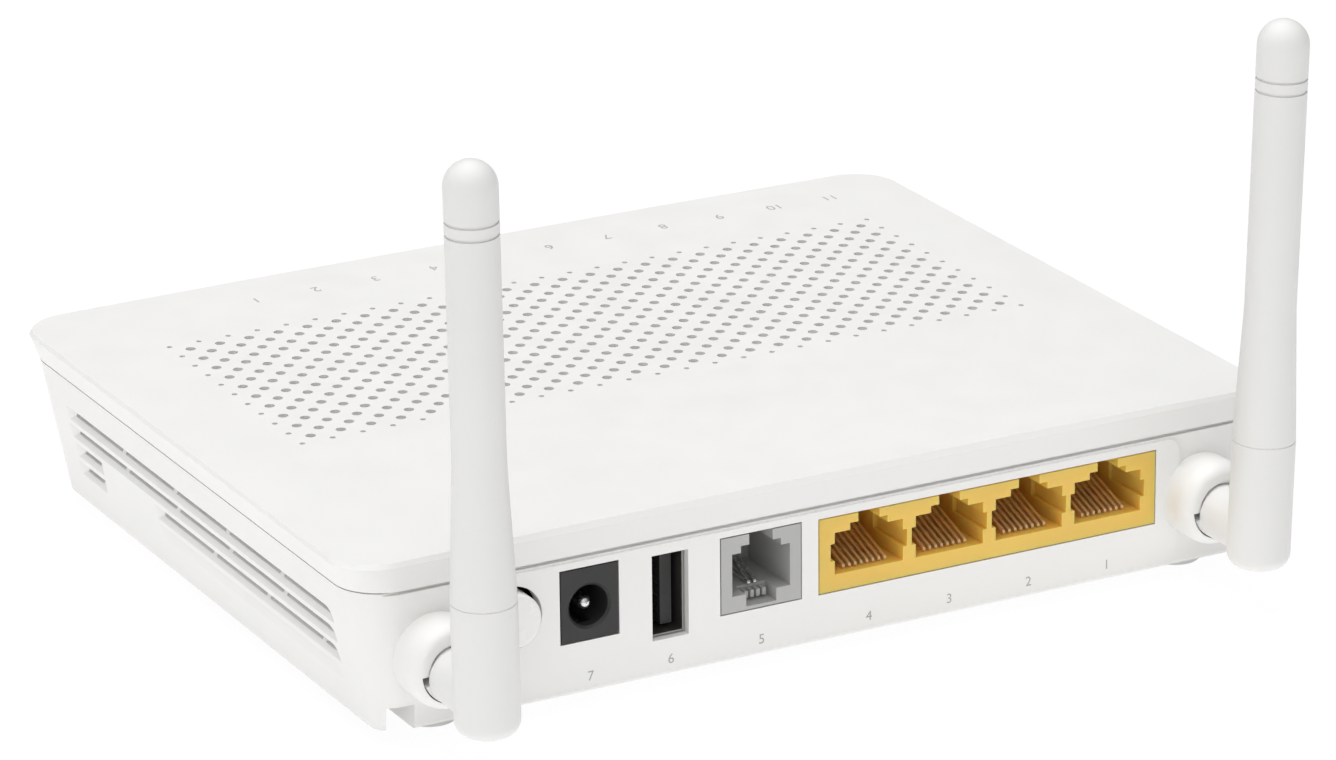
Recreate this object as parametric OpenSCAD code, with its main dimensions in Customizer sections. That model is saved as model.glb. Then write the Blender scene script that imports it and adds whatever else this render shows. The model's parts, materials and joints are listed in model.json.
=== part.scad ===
// Desktop optical network terminal with two swivelling antennas.
// X runs along the width, the socket panel faces +Y, the lamps face -Y and Z = 0 is the desk.
// The origin is the middle of the whole outline, antennas included.

/* [Case] */
// Width of the cover
lid_w = 158; // [150:1:180]
// Depth of the cover
lid_d = 124; // [118:1:140]
// Corner radius of the cover in plan
lid_corner_r = 7.4; // [5:0.2:10]
// Height of the cover from its lower edge to its crown
lid_h = 4.8; // [4:0.1:7]
// Radius of the cover's crown across the width
crown_r = 6330; // [4000:10:9000]
// Plate thickness of the cover at its crown
lid_t = 2.5; // [2:0.1:3]
// Wall thickness of the cover's skirt
skirt_t = 1.8; // [1.4:0.1:2.4]
// How far the cover's sides draw in towards its lower edge
lid_side_lean = 1.2; // [0:0.1:2]
// How far the cover's front draws in towards its lower edge
lid_front_lean = 1; // [0:0.1:2]
// Softened top edge of the cover
lid_edge = 0.5; // [0.2:0.1:1]
// Height of the lower case from its underside to its top edge
case_h = 21.8; // [21:0.05:26]
// How far the sides of the lower case draw in towards its underside
case_side_lean = 3; // [0:0.1:4]
// How far the front of the lower case draws in towards its underside
case_front_lean = 2; // [0:0.1:4]
// Corner radius of the lower case at its underside, in front
case_corner_r = 9; // [7:0.5:11]
// Corner radius of the lower case at its underside, beside the sockets
case_rear_r = 3.6; // [3:0.1:8]
// Softened lower edge of the case
case_edge = 0.6; // [0.2:0.1:1]
// Wall thickness of the lower case
wall = 2; // [1.6:0.1:2.4]
// Floor thickness of the lower case
floor_t = 2; // [1.6:0.1:2.4]
// Gap between the case and the cover
seam_gap = 0.2; // [0.15:0.05:0.5]
// How much wider that gap is above the sockets
seam_step = 0.35; // [0:0.05:0.6]
// Depth of the wider gap above the sockets
seam_depth = 0.7; // [0.4:0.1:1.2]
// Thickness of the lip that locates the cover
lip_t = 1.2; // [0.8:0.1:1.5]
// Clearance between the lip and the cover
lip_clear = 0.15; // [0.1:0.05:0.3]

/* [Cover vents] */
// Vent columns of the main grid
vent_columns = 26; // [10:1:26]
// Vent rows of the main grid
vent_rows = 11; // [5:1:11]
// Vent pitch across the width
vent_pitch_x = 5.07; // [4.6:0.01:5.2]
// Vent pitch along the depth
vent_pitch_y = 4.96; // [4.6:0.01:5.2]
// Diameter of a vent
vent_d = 1.6; // [1.2:0.1:2.2]
// Diameter of the vents on the rim of the grid
vent_rim_d = 0.9; // [0.6:0.1:1.4]
// Middle of the vent grid across the width
vent_x = -0.9; // [-4:0.1:4]
// Middle of the vent grid along the depth
vent_y = -13.7; // [-16:0.1:-8]

/* [Side louvres] */
// Height of the upper edge of the top louvre above the underside
louvre_top = 16.85; // [16:0.05:17.5]
// Pitch from louvre to louvre
louvre_pitch = 3.08; // [2.8:0.02:3.3]
// Height of a louvre
louvre_h = 2.3; // [1.6:0.1:2.5]
// Depth of a louvre at its upper edge
louvre_depth = 1.5; // [0.8:0.1:1.6]
// Height of the air slit at the upper edge of a louvre
slit_h = 1.4; // [0.6:0.1:1.5]
// Pitch of the ribs across the air slits
slit_pitch = 19.5; // [12:0.5:25]
// Thickness of a rib across the air slits
slit_rib = 1.2; // [0.8:0.1:2]

/* [Antennas] */
// Distance of an antenna pivot from the side of the cover
pivot_inset = 13.4; // [12:0.1:16]
// Height of the pivots above the underside
pivot_h = 11.1; // [10.6:0.1:11.6]
// Base radius of the cup round a pivot
cup_r = 6.7; // [6.3:0.1:7]
// How far the cup stands out from the panel
cup_out = 6.7; // [6:0.1:8]
// How far the cup's bush reaches inside the panel
cup_in = 4.5; // [3:0.1:5]
// Radius of the pivot shaft
shaft_r = 3.5; // [3:0.05:3.6]
// Running clearance of the pivot shaft
shaft_clear = 0.06; // [0.03:0.01:0.1]
// Radius of the stop lug on the shaft
lug_r = 5; // [4.8:0.05:5.1]
// Clearance round the stop lug
lug_clear = 0.2; // [0.1:0.02:0.3]
// Depth of the stop notch in the cup
notch_depth = 3.1; // [2:0.1:4]
// Distance of the antenna's own axis from the panel
antenna_out = 16.9; // [15:0.1:19]
// Radius of the antenna at its foot
antenna_r = 4.85; // [4.5:0.05:5]
// Radius of the upper antenna
whip_r = 3.93; // [3.7:0.01:4.2]
// Length of the antenna below the pivot
antenna_below = 6.1; // [5.5:0.1:7]
// Height of the foot's upper end above the pivot
foot_top = 14.4; // [12:0.1:18]
// Height above the pivot where the taper ends
taper_top = 35.5; // [28:0.5:45]
// Length of the antenna above the pivot
antenna_above = 80.3; // [70:0.1:110]
// Lean of the left antenna away from upright, in degrees
left_lean = 0.6; // [-3:0.1:3]
// Lean of the right antenna away from upright, in degrees
right_lean = -1.6; // [-3:0.1:3]

/* [Sockets] */
// Pitch of the network ports
lan_pitch = 14; // [13.8:0.1:14.4]
// Height of the network block
lan_h = 11.8; // [11.5:0.1:12]
// Depth of the network block
lan_depth = 15; // [14:0.5:18]
// End wall of the network block beyond the outer ports
lan_end = 2.6; // [2:0.1:3]
// Width of a network plug opening
plug_w = 11.8; // [11.7:0.05:12]
// Height of a network plug opening
plug_h = 6.75; // [6.6:0.05:7]
// Width of the telephone jack
tel_w = 13.5; // [13:0.1:14]
// Height of the telephone jack
tel_h = 12; // [11.6:0.1:12.1]
// Width of the telephone plug opening
tel_plug_w = 9.8; // [9.7:0.05:10]
// Width of the USB shell
usb_w = 5.7; // [5.5:0.05:5.9]
// Height of the USB shell
usb_h = 13.1; // [12.9:0.05:13.3]
// How far the USB shell sits behind the panel's face
usb_setback = 1.2; // [0.4:0.1:2]
// Width of the power jack
dc_w = 9.4; // [9:0.1:9.6]
// Height of the power jack
dc_h = 11.3; // [11:0.1:11.5]
// Bore of the power jack
dc_bore = 6.4; // [6.2:0.1:6.8]
// Diameter of the power jack's pin
dc_pin_d = 2.1; // [1.9:0.1:2.5]
// Gap between a socket and its cut-out in the panel
socket_gap = 0.2; // [0.1:0.05:0.3]

/* [Buttons] */
// Height of the power button above the underside
power_h = 14.3; // [13.5:0.1:14.5]
// Diameter of the power button
power_d = 8.4; // [8:0.1:9]
// Diameter of the hole for the power button
power_hole_d = 10; // [9.6:0.1:10.2]
// How far the power button stands out of the panel
power_proud = 1.7; // [1:0.1:2.5]
// Travel of the power button
power_travel = 2; // [1:0.1:2.5]
// Width of a side button
side_button_w = 7; // [5:0.5:8]
// Height of a side button
side_button_h = 3; // [2.4:0.1:3.5]
// Travel of a side button
side_travel = 0.4; // [0.2:0.05:0.6]
// Gap between a side button and its window
side_gap = 0.2; // [0.1:0.05:0.3]

/* [Board] */
// Thickness of the circuit board
board_t = 1.6; // [1.2:0.1:2]
// Height of the standoffs above the floor
standoff_h = 4.3; // [4.1:0.1:4.5]
// Number of status lamps
lamp_count = 11; // [4:1:12]
// Distance of the first lamp from the +X side of the cover
lamp_first = 37.5; // [30:0.5:45]
// Distance of the last lamp from the -X side of the cover
lamp_last = 14.5; // [12:0.5:20]

/* [Underside] */
// Height of the rubber feet
foot_h = 2; // [1.2:0.1:3]
// Diameter of the rubber feet
foot_d = 8.6; // [7:0.1:9]
// Distance between the keyholes for a wall
keyhole_span = 90; // [80:1:96]
// Diameter of a keyhole's entry
keyhole_d = 7.2; // [6.5:0.1:8]
// Width of a keyhole's slot
keyhole_slot = 3.8; // [3.4:0.1:4.2]
// Length of a keyhole's slot
keyhole_run = 7; // [5:0.5:9]
// Distance of the fibre bay from the side of the cover
bay_inset = 7.5; // [7:0.1:9]
// Distance of the fibre bay from the socket panel
bay_setback = 23; // [20:1:26]
// Width of the fibre bay
bay_w = 13; // [12.8:0.1:13.4]
// Length of the fibre bay
bay_len = 44; // [40:1:46]
// Depth of the fibre bay
bay_h = 12; // [11.8:0.1:12.4]

/* [Hidden] */

white = "#f1f0ec";
eps = 0.01;
bore_fn = 64;
corner_fn = 64;
wire_fn = 24;
vent_fn = 16;
crown_steps = 20;
round_steps = 10;

// Levels
case_top = foot_h + case_h;
lid_z = case_top + seam_gap;
lid_top = lid_z + lid_h;
lid_under = lid_top - lid_t;
lid_rim = lid_top - 1.1;
lid_rim_h = 1;
floor_top = foot_h + floor_t;
board_z = floor_top + standoff_h;
board_top = board_z + board_t;
pivot_z = foot_h + pivot_h;

// Plan of the case: outer faces at the seam
half_w = lid_w / 2;
half_d = lid_d / 2;
panel_y = half_d;
seam_x = half_w - lid_side_lean;
seam_front = half_d - lid_front_lean;
base_x = seam_x - case_side_lean;
base_front = seam_front - case_front_lean;
pivot_x = half_w - pivot_inset;
pad_t = 0.4;
pad_r = 2;
pad_x0 = 4 - pivot_x;
pad_x1 = pivot_x - 5.6;
pad_rise = 1.2;
pad_drop = 0.4;
face_y = panel_y + pad_t;
lip_root = 1.1;
lip_rise = 1.2;
side_slope = case_side_lean / case_h;
front_slope = case_front_lean / case_h;
function side_x(z) = base_x + side_slope * (z - foot_h);
function front_y(z) = -base_front - front_slope * (z - foot_h);

// Middle of the outline along the depth, from the case's front to the back of the antennas
frame_y = (antenna_out + antenna_r) / 2;

// Louvres: ends along the depth and depth of the lowest row
louvre_y0 = 15 - half_d;
louvre_y1 = half_d - 10;
louvre_short = [16 - half_d, 27 - half_d];
louvre_low_y0 = -15;
louvre_right_y0 = -5;
louvre_low_depth = 0.35;
slit_back = 0.4;
slit_start = 2.5;
louvre_ramp = 4;

// Feet and floor
foot_x = half_w - 13;
foot_front = 11 - half_d;
foot_rear = half_d - 7.5;
foot_at = [[-foot_x, foot_front], [foot_x, foot_front], [-foot_x, foot_rear], [foot_x - 3, foot_rear]];
foot_edge = 0.4;
floor_slot = [2, 20];
floor_slot_reach = 28;
floor_slot_pitch = 7;
floor_slot_y = [-32, 8];

// Fibre bay in the floor, the receptacle in it and the way out to the rear corner
bay_wall = 1.5;
bay_x1 = half_w - bay_inset;
bay_x0 = bay_x1 - bay_w;
bay_y1 = panel_y - bay_setback;
bay_y0 = bay_y1 - bay_len;
channel_x0 = half_w - 10;
channel_x1 = half_w - 5.7;
channel_h = 4;
optic_x = bay_x0 + bay_w / 2;
optic_w = 12.6;
optic_h = 9.3;
optic_reach = 8;
optic_len = 24;
optic_gap = 0.1;
optic_front = bay_y0 + optic_reach;
optic_rear = optic_front - optic_len;
optic_z = floor_top + optic_h / 2;
optic_mouth_w = 9.1;
optic_mouth_h = 7.5;
optic_mouth_depth = 14;
optic_key = [3, 6];
sleeve_r = 1.6;
sleeve_clear = 0.03;
sleeve_back = 4;
ferrule_r = 1.25;
ferrule_stop = 6;
module_r = 3.5;
module_len = 12;
module_side_r = 2.6;
module_side_len = 7;

// Screws
case_screw_x = half_w - 23;
case_screw_front = 16 - half_d;
case_screw_rear = half_d - 28;
case_screw_at = [
    [-case_screw_x, case_screw_front], [case_screw_x, case_screw_front],
    [-foot_x, case_screw_rear], [bay_x0 - 8.5, case_screw_rear]
];
case_boss_r = 4.2;
case_boss_top = board_z - 0.3;
screw_head_r = 2.6;
screw_head_h = 1.6;
screw_seat = floor_top + 1;
screw_r = 1.25;
screw_clear = 0.05;
screw_pass = 0.2;
head_pass = 0.3;
screw_cross = [3.2, 0.8, 0.8];
post_r = 2.6;
post_pass = 0.4;
screw_len = 9;
board_screw_r = 1.05;
board_screw_pass = 0.25;
board_head_r = 2.2;
board_head_h = 1.4;
board_cross = [2.6, 0.6, 0.7];
board_screw_len = 4.5;
standoff_r = 2.8;

// Board outline
board_half = base_x - wall - 2.8;
board_gap = 0.5;
board_front = board_gap + wall - base_front;
board_rear = panel_y - wall - board_gap;
board_bay_x = bay_x0 - bay_wall - 0.3;
board_bay_y = optic_rear - module_len - 2;
board_cup_x = pivot_x - cup_r - 1;
board_cup_y = panel_y - cup_in - 12;
board_screw_x = board_half - 12;
board_screw_y = 20;
board_screw_at = [
    [-board_screw_x, -board_screw_y], [-board_screw_x, board_screw_y],
    [foot_x, 13 - half_d], [bay_x0 - 7.5, 18]
];

// Row along the panel, from the left cup to the right one
lan_count = 4;
lan_w = lan_pitch * (lan_count - 1) + plug_w + 2 * lan_end;
gap_cup_button = 0.66;
gap_button_jack = 3.09;
gap_jack_usb = 5.85;
gap_usb_tel = 5.7;
gap_tel_lan = 3.2;
gap_lan_cup = 1.7;
gap_sum = gap_cup_button + gap_button_jack + gap_jack_usb + gap_usb_tel + gap_tel_lan + gap_lan_cup;
row_free = 2 * (pivot_x - cup_r) - power_hole_d - dc_w - usb_w - tel_w - lan_w;
share = row_free / gap_sum;
power_x = pivot_x - cup_r - gap_cup_button * share - power_hole_d / 2;
dc_x = power_x - power_hole_d / 2 - gap_button_jack * share - dc_w / 2;
usb_x = dc_x - dc_w / 2 - gap_jack_usb * share - usb_w / 2;
tel_x = usb_x - usb_w / 2 - gap_usb_tel * share - tel_w / 2;
lan_x = tel_x - tel_w / 2 - gap_tel_lan * share - lan_w / 2;

// Sockets
lan_floor = board_top + 2.6;
key_w = 6.5;
key_h = 1.1;
latch_w = 3.7;
groove_d = 0.7;
groove_h = 2.8;
groove_rise = 2.2;
groove_short = 3;
plug_depth = 13;
lan_rise = 18;
lan_comb = [0.4, 1.5];
lan_comb_rise = 3;
wire_t = 0.4;
wire_w = 0.45;
wire_pitch = 1.02;
wire_count = 8;
wire_front = 1.8;
tel_depth = 15;
tel_floor = board_top + 2.5;
tel_key_w = 6.8;
tel_latch_w = 4;
tel_slot_w = 5.1;
tel_slot_depth = 3.5;
tel_slot_floor = 0.5;
tel_comb_count = 4;
tel_comb = [0.6, 2.6];
tel_comb_rise = 1;
tel_comb_drop = 0.4;
tel_wire_back = 1.5;
tel_wire_short = 5;
tel_rise = 24;
usb_t = 0.3;
usb_depth = 14;
usb_slot_gap = 0.3;
usb_front = face_y - usb_setback;
usb_back = usb_front - usb_depth;
usb_z = board_z - 0.07;
usb_tab = 1.2;
usb_tab_t = 0.4;
usb_tab_len = 2;
tongue_t = 1.9;
tongue_h = 11.2;
tongue_len = 9;
tongue_root = 3;
tongue_x = usb_x - 0.7;
strip = [0.3, 8, 1];
strip_z = [-3.5, -1, 1, 3.5];
strip_back = 3.2;
strip_clear = 0.02;
dc_depth = 14;
dc_foot = 0.7;
dc_foot_len = 2;
dc_z = board_top + dc_foot;
dc_bore_z = dc_z + 5.2;
dc_bore_depth = 9.5;
dc_bore_edge = 0.4;
dc_pin_back = 2;
dc_pin_clear = 0.02;
dc_groove = [2.2, 7.5, 2];
dc_groove_z = dc_bore_z - (dc_bore + dc_groove[2]) / 2;
dc_strip = [1.8, 6.9, 0.35];

// Buttons
power_z = foot_h + power_h;
cap_len = 6.7;
cap_round = 0.6;
stem_w = 4;
stem_len = 3;
plunger_w = 2.6;
plunger_len = 6;
plunger_gap = 0.1;
switch_w = 7.6;
switch_len = 11;
switch_over = 3.6;
switch_gap = 0.3;
cap_back = face_y + power_proud - cap_len;
stem_back = cap_back - stem_len;
switch_front = stem_back - power_travel - switch_gap;
side_button_back = [29, 40];
reset_back = 49;
side_button_y = [for (back = side_button_back) back - half_d];
reset_y = reset_back - half_d;
reset_d = 2.2;
reset_sunk = 0.6;
side_button_z = foot_h + 9;
side_flange = 0.9;
side_flange_t = 1;
side_flange_gap = 0.3;
side_proud = 0.7;
side_stem_d = 2;
tact_w = 6;
tact_len = 3.6;
tact_h = side_button_z - board_top + 2;
tact_nib = 0.6;
tact_nib_d = 1.8;
tact_gap = 0.1;
tact_face = 0.5 - board_half;

// Lamps
lamp_pitch = (lid_w - lamp_first - lamp_last) / (lamp_count - 1);
lamp_x0 = half_w - lamp_first;
lamp_y = 8.5 - half_d;
led_size = [1.6, 0.8, 0.7];
guide_w = 3;
guide_t = 1.6;
guide_z = foot_h + 17;
guide_gap = 0.15;
guide_recess = 0.3;
guide_over = 0.3;
guide_bar = [1.2, 2];
guide_bar_z = board_top + 4;

// Parts on the board
chip = [19, 19, 2.2];
chip_at = [-8, -8];
sink_w = 34;
sink_t = 2;
fin_h = 7;
fin_t = 1.2;
fin_count = 9;
can_size = [[28, 24, 3], [24, 20, 3]];
can_at = [[-56, -12], [18, -38]];
line_size = [16, 9.5, 4.6];
line_span = 22;
line_back = 30;
line_y = panel_y - line_back;
cap_x = dc_x - 4.4;
cap_y = panel_y - 22;
cap_step = [10, 12];
cap_at = [[cap_x, cap_y], [cap_x - cap_step[0], cap_y], [cap_x, cap_y - cap_step[1]]];
cap_r = [4, 4, 3.15];
cap_h = [11, 11, 8];
rf_at = [[bay_x0 - 12.5, panel_y - 20], [9.5 - board_half, panel_y - 28]];
rf_r = 1.3;
rf_h = 1.2;

// Antenna
cup_ring_r = cup_r - 1.6;
cup_round = 3;
rim_edge = 0.5;
stop_cw = 15;
stop_ccw = 90;
stop_spare = 1;
notch_start = 183;
lug_start = notch_start + stop_cw + stop_spare;
lug_sweep = 145;
lug_gap = 0.15;
notch_end = lug_start + lug_sweep + stop_ccw + stop_spare;
sector_steps = 8;
neck_gap = 0.3;
neck_over = 0.08;
neck_r = (shaft_r + lug_r) / 2 + neck_over;
neck_drop = (lug_r - shaft_r) / 2;
neck_start = cup_out + neck_gap;
neck_end = antenna_out - 1;
base_round = 2.5;
joint_edge = 0.15;
lead_r = 0.7;
lead_bore = 1;
lead_gap = 0.3;
lead_bend = [2, 4];
lead_high = board_top + 11.6;
hook_r = 4.2;
hook_gap = 0.15;
hook_t = 1.5;
hook_lead = 1;
hook_draw = 0.3;
hook_slit = 1;
hook_y = -cup_in - hook_gap;
hook_back = hook_y - hook_t - hook_lead;
spigot_r = 3.15;
spigot_h = 8;
spigot_clear = 0.05;
spigot_gap = 0.2;
whip_bore = 2.6;
whip_cap = 1;
ring_groove = [69.5, 71.4];
ring_w = 0.45;
ring_d = 0.25;
core_clear = 0.2;
core_z = foot_top + spigot_h + 4;
core_len = 22;
core_end = 6;

// Rounded rectangle with true arcs, from y0 to y1
module rounded_area(half, y0, y1, r) {
    translate([-half + r, y0]) square([2 * (half - r), y1 - y0]);
    translate([-half, y0 + r]) square([2 * half, y1 - y0 - 2 * r]);
    for (x = [-half + r, half - r], y = [y0 + r, y1 - r])
        translate([x, y]) circle(r, $fn = corner_fn);
}

// Thin rounded plate, used as one station of a lofted shell
module station(z, half, y0, y1, r, rear_r) {
    for (side = [-1, 1]) {
        translate([side * (half - r), y0 + r, z]) cylinder(r = r, h = eps, $fn = corner_fn);
        translate([side * (half - rear_r), y1 - rear_r, z]) cylinder(r = rear_r, h = eps, $fn = corner_fn);
    }
}

// Lower case loft, drawn in by t on every wall
module case_loft(t, bottom, edge) {
    front_r = case_corner_r - t;
    rear_r = case_rear_r - t;
    top_r = lid_corner_r - min(t, 1);
    hull() {
        station(bottom, base_x - t - edge, -base_front + t + edge, panel_y - t - edge, front_r, rear_r);
        station(bottom + edge, base_x - t, -base_front + t, panel_y - t, front_r, rear_r);
        station(case_top - eps, seam_x - t, -seam_front + t, panel_y - t, top_r, top_r);
    }
}

// Cover loft, taller than the crown that trims it
module lid_loft() {
    hull() {
        station(lid_z, seam_x, -seam_front, panel_y, lid_corner_r, lid_corner_r);
        station(lid_rim, half_w, -half_d, panel_y, lid_corner_r, lid_corner_r);
        station(
            lid_rim + lid_rim_h, half_w - lid_edge, lid_edge - half_d, panel_y - lid_edge,
            lid_corner_r, lid_corner_r
        );
    }
}

// Prism below the cover's crown, which falls off from the middle to both sides
module crown_prism() {
    reach = half_w + 1;
    step = 2 * reach / crown_steps;
    crown = [for (k = [0:crown_steps]) let (x = k * step - reach) [x, lid_top - x * x / (2 * crown_r)]];
    translate([0, lid_d, 0]) rotate([90, 0, 0]) linear_extrude(2 * lid_d)
        polygon(concat([[-reach, 0]], crown, [[reach, 0]]));
}

// Plan of the space inside the cover's skirt, drawn in by t
module lid_inside(t) {
    inset = skirt_t + t;
    rounded_area(seam_x - inset, -seam_front + inset, panel_y - inset, lid_corner_r - 1 - t);
}

// One vent grid: columns by rows of holes, with the rim holes of its own size
module vent_grid(columns, rows, rim_d) {
    for (column = [0:columns - 1], row = [0:rows - 1]) {
        rim = column == 0 || column == columns - 1 || row == 0 || row == rows - 1;
        translate([
            vent_x + (column - (columns - 1) / 2) * vent_pitch_x,
            vent_y + (row - (rows - 1) / 2) * vent_pitch_y
        ]) circle(d = rim ? rim_d : vent_d, $fn = vent_fn);
    }
}

// Rod between two heights at each listed point
module rods(points, r, z0, z1) {
    for (p = points) translate([p[0], p[1], z0]) cylinder(r = r, h = z1 - z0, $fn = bore_fn);
}

module top_cover() {
    color(white) difference() {
        union() {
            difference() {
                intersection() {
                    lid_loft();
                    crown_prism();
                }
                translate([0, 0, lid_z - 1]) linear_extrude(lid_under - lid_z + 1) lid_inside(0);
            }
            rods(case_screw_at, post_r, case_boss_top, lid_under + eps);
        }
        translate([0, 0, lid_under - 1]) linear_extrude(lid_t + 2) {
            vent_grid(vent_columns, vent_rows, vent_rim_d);
            vent_grid(vent_columns - 1, vent_rows - 1, vent_d);
        }
        rods(case_screw_at, screw_r + screw_clear, case_boss_top - 1, screw_seat + screw_len + 1);
    }
}

// Wedge cut into the side wall; it sinks in along a ramp at its front end
// and its rear end is rounded at the upper corner, or square
module louvre_cut(row, y0, y1, depth, rounded = true) {
    z1 = foot_h + louvre_top - row * louvre_pitch;
    z0 = z1 - louvre_h;
    x1 = side_x(z1);
    end_r = rounded ? louvre_h : 0;
    intersection() {
        translate([0, y1, 0]) rotate([90, 0, 0]) linear_extrude(y1 - y0)
            polygon([
                [x1 + 1, z1], [x1 - depth, z1], [side_x(z0), z0], [side_x(z0) + 1, z0]
            ]);
        rotate([90, 0, 90]) linear_extrude(lid_w) {
            translate([y0, z0 - 1]) square([y1 - y0 - end_r, louvre_h + 2]);
            if (rounded) translate([y1 - end_r, z0]) circle(end_r, $fn = corner_fn);
        }
        translate([0, 0, z0 - 1]) linear_extrude(louvre_h + 2)
            polygon([
                [x1 + 1, y0], [x1, y0], [x1 - depth, y0 + louvre_ramp], [x1 - depth, y1], [x1 + 1, y1]
            ]);
    }
}

// Air slits along the upper edge of a louvre, parted by ribs
module slit_cut(row, y0, y1) {
    z1 = foot_h + louvre_top - row * louvre_pitch;
    for (y = [y0 + slit_start:slit_pitch:y1 - louvre_h - slit_rib - 1]) {
        end = min(y + slit_pitch - slit_rib, y1 - louvre_h);
        translate([side_x(z1) - wall - slit_back, y, z1 - slit_h])
            cube([wall + slit_back, end - y, slit_h]);
    }
}

// Two louvre rows along the whole side, which both sides share
module long_louvres() {
    for (row = [0, 1]) {
        louvre_cut(row, louvre_y0, louvre_y1, louvre_depth);
        slit_cut(row, louvre_y0, louvre_y1);
    }
}

// Louvres on the +X side; the two lower rows leave a blank field
module left_louvres() {
    long_louvres();
    for (row = [2, 3]) {
        louvre_cut(row, louvre_short[0], louvre_short[1], louvre_depth, false);
        slit_cut(row, louvre_short[0], louvre_short[1]);
    }
    louvre_cut(2, louvre_low_y0, louvre_y1, louvre_depth);
    slit_cut(2, louvre_low_y0, louvre_y1);
    louvre_cut(3, louvre_low_y0, louvre_y1, louvre_low_depth);
}

// Louvres on the -X side, which leave the lower field to the buttons
module right_louvres() {
    mirror([1, 0, 0]) {
        long_louvres();
        for (row = [2, 3]) {
            louvre_cut(row, louvre_right_y0, louvre_y1, louvre_depth);
            slit_cut(row, louvre_right_y0, louvre_y1);
        }
    }
}

// Upright slab in the panel, centred on x, from z0 to z1
module panel_cut(x, w, z0, z1) {
    translate([x - w / 2, panel_y - wall - 1, z0]) cube([w, wall + 3, z1 - z0]);
}

// Turned cup with a soft shoulder and a flat rim, along +Y from inside the panel
module cup_body() {
    shoulder = [
        for (k = [0:round_steps]) let (a = 90 * k / round_steps)
            [cup_ring_r + (cup_r - cup_ring_r) * cos(a), cup_out - cup_round + cup_round * sin(a)]
    ];
    rotate([-90, 0, 0]) rotate_extrude($fn = bore_fn)
        polygon(concat([[0, -cup_in], [cup_r, -cup_in]], shoulder, [[0, cup_out]]));
}

// Sector of a disc, seen from behind the panel, angles counter-clockwise from -X
module sector(r, from, sweep) {
    step = sweep / sector_steps;
    intersection() {
        circle(r, $fn = bore_fn);
        polygon(concat([[0, 0]], [
            for (k = [0:sector_steps]) 2 * r * [cos(from + k * step), sin(from + k * step)]
        ]));
    }
}

// Places a drawing made in the panel's outer view at one pivot
module at_pivot(x) {
    translate([x, panel_y, pivot_z]) children();
}

// Extrudes a drawing in the panel's outer view from y0 to y1, both counted from the panel
module panel_extrude(y0, y1) {
    translate([0, y0, 0]) rotate([90, 0, 180]) linear_extrude(y1 - y0) children();
}

// Bore of a cup, the soft edge of its mouth and the notch for the stop lug
module cup_holes() {
    bore = shaft_r + shaft_clear;
    rotate([-90, 0, 0]) {
        translate([0, 0, -cup_in - 1]) cylinder(r = bore, h = cup_in + cup_out + 2, $fn = bore_fn);
        translate([0, 0, cup_out - rim_edge])
            cylinder(r1 = bore, r2 = bore + 2 * rim_edge, h = 2 * rim_edge, $fn = bore_fn);
    }
    panel_extrude(cup_out - notch_depth, cup_out + 1)
        sector(lug_r + lug_clear, notch_start, notch_end - notch_start);
}

module keyhole() {
    cylinder(d = keyhole_d, h = floor_t + 2, $fn = bore_fn);
    translate([-keyhole_slot / 2, 0, 0]) cube([keyhole_slot, keyhole_run, floor_t + 2]);
    translate([0, keyhole_run, 0]) cylinder(d = keyhole_slot, h = floor_t + 2, $fn = bore_fn);
}

// Rows of slots in the floor
module floor_vents() {
    for (x = [-floor_slot_reach:floor_slot_pitch:floor_slot_reach], y = floor_slot_y)
        translate([x - floor_slot[0] / 2, y, foot_h - 1]) cube([floor_slot[0], floor_slot[1], floor_t + 2]);
}

// Window for a side button, at right angles to the wall's plan
module side_window(y, w, h) {
    translate([-half_w, y - w / 2, side_button_z - h / 2]) cube([half_w / 2, w, h]);
}

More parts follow.
